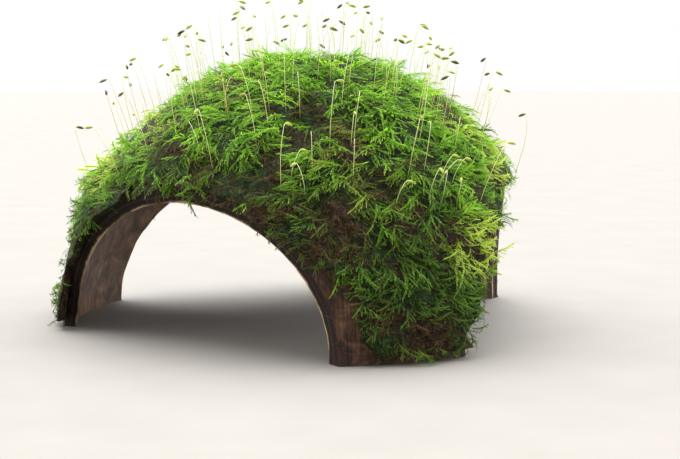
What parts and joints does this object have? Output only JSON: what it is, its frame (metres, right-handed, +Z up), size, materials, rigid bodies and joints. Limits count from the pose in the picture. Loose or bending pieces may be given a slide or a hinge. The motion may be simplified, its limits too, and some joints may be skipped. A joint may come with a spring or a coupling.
{
  "type": "java moss on coconut",
  "caption": "Half coconut shell with arched doorways, standing on its legs as a small cave, with a mat of java moss grown over its outside and thin spore stalks on its crown.",
  "frame": {"origin": "on the ground the legs stand on, under the middle of the object's box; the shell's own axis stands 3.2 mm towards +X and 1.7 mm towards +Y from it", "axes": "+Z up through the crown; -Y towards the viewer of the main view, whose doorway opens towards -X -Y"},
  "size_m": [0.1132, 0.1157, 0.0723],
  "materials": {
    "coconut_shell": "rough, charred at cut edges",
    "java_moss": "soft, damp, matte",
    "sporophyte": "smooth, waxy"
  },
  "bodies": {
    "root": {"coconut_shell": "coconut_shell", "java_moss": "java_moss", "sporophyte_01": "sporophyte", "sporophyte_02": "sporophyte", "sporophyte_03": "sporophyte", "sporophyte_04": "sporophyte", "sporophyte_05": "sporophyte", "sporophyte_06": "sporophyte", "sporophyte_07": "sporophyte", "sporophyte_08": "sporophyte", "sporophyte_09": "sporophyte", "sporophyte_10": "sporophyte", "sporophyte_11": "sporophyte", "sporophyte_12": "sporophyte", "sporophyte_13": "sporophyte", "sporophyte_14": "sporophyte", "sporophyte_15": "sporophyte", "sporophyte_16": "sporophyte", "sporophyte_17": "sporophyte", "sporophyte_18": "sporophyte", "sporophyte_19": "sporophyte", "sporophyte_20": "sporophyte", "sporophyte_21": "sporophyte", "sporophyte_22": "sporophyte", "sporophyte_23": "sporophyte", "sporophyte_24": "sporophyte", "sporophyte_25": "sporophyte", "sporophyte_26": "sporophyte", "sporophyte_27": "sporophyte", "sporophyte_28": "sporophyte", "sporophyte_29": "sporophyte", "sporophyte_30": "sporophyte", "sporophyte_31": "sporophyte", "sporophyte_32": "sporophyte", "sporophyte_33": "sporophyte", "sporophyte_34": "sporophyte", "sporophyte_35": "sporophyte", "sporophyte_36": "sporophyte", "sporophyte_37": "sporophyte", "sporophyte_38": "sporophyte"}
  },
  "joints": []
}
